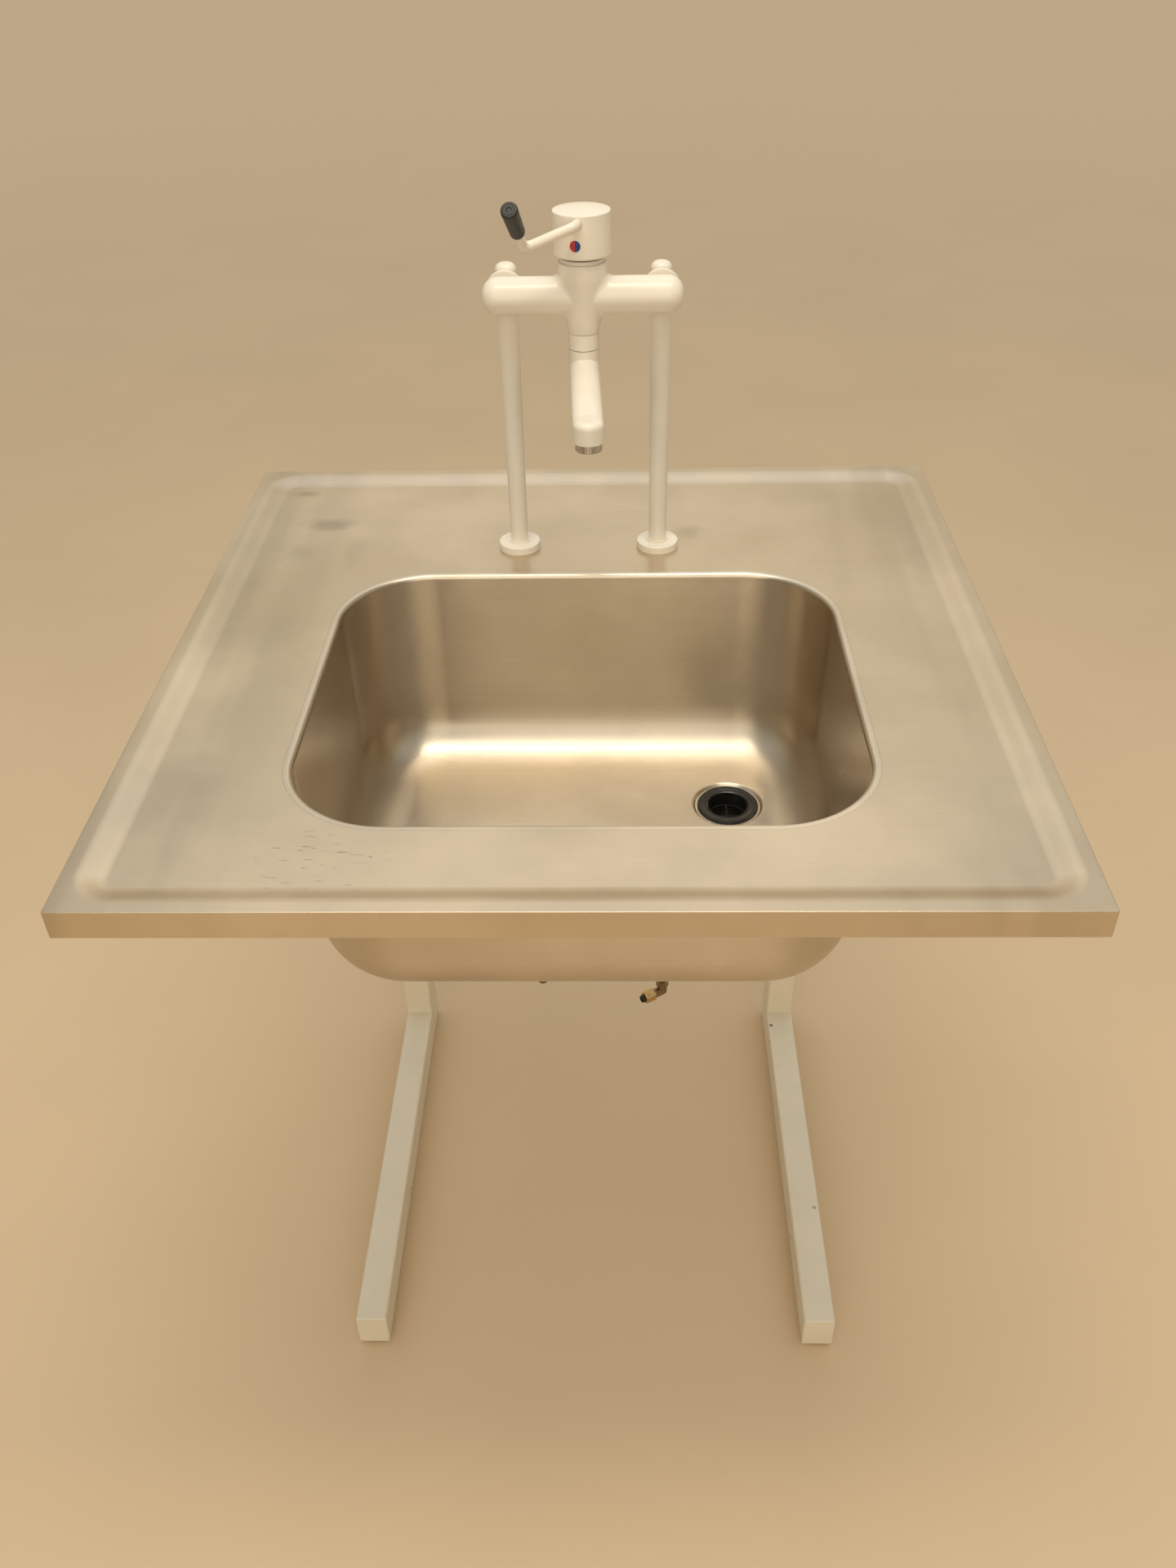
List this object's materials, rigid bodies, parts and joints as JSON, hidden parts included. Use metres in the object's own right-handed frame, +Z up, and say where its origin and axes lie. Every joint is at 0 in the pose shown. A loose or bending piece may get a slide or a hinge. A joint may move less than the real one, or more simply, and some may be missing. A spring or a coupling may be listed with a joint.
{
  "type": "laboratory sink",
  "caption": "Square stainless worktop with a deep rounded bowl on a two-leg steel stand, with a lever mixer on pillars and a swivel spout.",
  "frame": {"origin": "on the floor under the middle of the square worktop", "axes": "+Z up, +X to the user's right, +Y away from the user"},
  "size_m": [0.8, 0.8, 1.2829],
  "materials": {
    "stainless": "satin, brushed",
    "board": "raw chipboard",
    "rubber": "matt",
    "black_plastic": "fine matt",
    "grey_plastic": "matt",
    "zinc": "zinc plated",
    "chrome": "bright plated",
    "brass": "machined",
    "copper": "drawn",
    "white_coat": "gloss epoxy coat",
    "grey_coat": "satin powder coat",
    "red_plastic": "gloss",
    "blue_plastic": "gloss"
  },
  "bodies": {
    "stand": {"worktop": "stainless", "bowl": "stainless", "backing_board": "board", "waste_fitting": "black_plastic", "waste_strainer": "black_plastic", "waste_seal": "rubber", "waste_back_nut": "black_plastic", "pillar_washers": "zinc", "pillar_lock_nuts": "brass", "mixer_body": "white_coat", "inlet_washers": "rubber", "cartridge": "grey_plastic", "cartridge_ring": "zinc", "spout_collar": "white_coat", "supply_elbow": "brass", "elbow_tail_nut": "brass", "elbow_outlet_nut": "brass", "elbow_olive": "black_plastic", "tail_coupling": "brass", "foot_end_caps": "grey_coat", "top_arm_end_caps": "grey_coat", "foot_glides": "black_plastic", "cross_rail": "grey_coat", "fixing_tabs": "grey_coat", "board_screws": "zinc", "left_pillar": "white_coat", "left_rosette": "white_coat", "left_inlet_nut": "white_coat", "left_supply_tail": "copper", "left_foot": "grey_coat", "left_post": "grey_coat", "left_top_arm": "grey_coat", "right_pillar": "white_coat", "right_rosette": "white_coat", "right_inlet_nut": "white_coat", "right_supply_tail": "copper", "right_foot": "grey_coat", "right_post": "grey_coat", "right_top_arm": "grey_coat"},
    "lever_base": {"cartridge_carrier": "grey_plastic"},
    "lever": {"lever_spindle": "zinc", "lever_cap": "white_coat", "lever_rod": "white_coat", "lever_grip": "black_plastic", "hot_mark": "red_plastic", "cold_mark": "blue_plastic", "cap_grub_screw": "zinc"},
    "swivel_spout": {"spout": "white_coat", "spout_neck_rings": "rubber", "aerator_housing": "chrome", "aerator_insert": "grey_plastic"}
  },
  "joints": [
    {"name": "temperature_turn", "type": "hinge", "parent": "stand", "child": "lever_base", "pos_m": [0, 0.166, 1.2142], "axis": [0, 0, 1], "range_deg": [-33, 57]},
    {"name": "flow_lift", "type": "hinge", "parent": "lever_base", "child": "lever", "pos_m": [0, 0.166, 1.214], "axis": [-0.9781, 0.2079, 0], "range_deg": [0, 20]},
    {"name": "spout_swivel", "type": "hinge", "parent": "stand", "child": "swivel_spout", "pos_m": [0, 0.166, 1.12], "axis": [0, 0, 1], "range_deg": [-63, 57]}
  ]
}
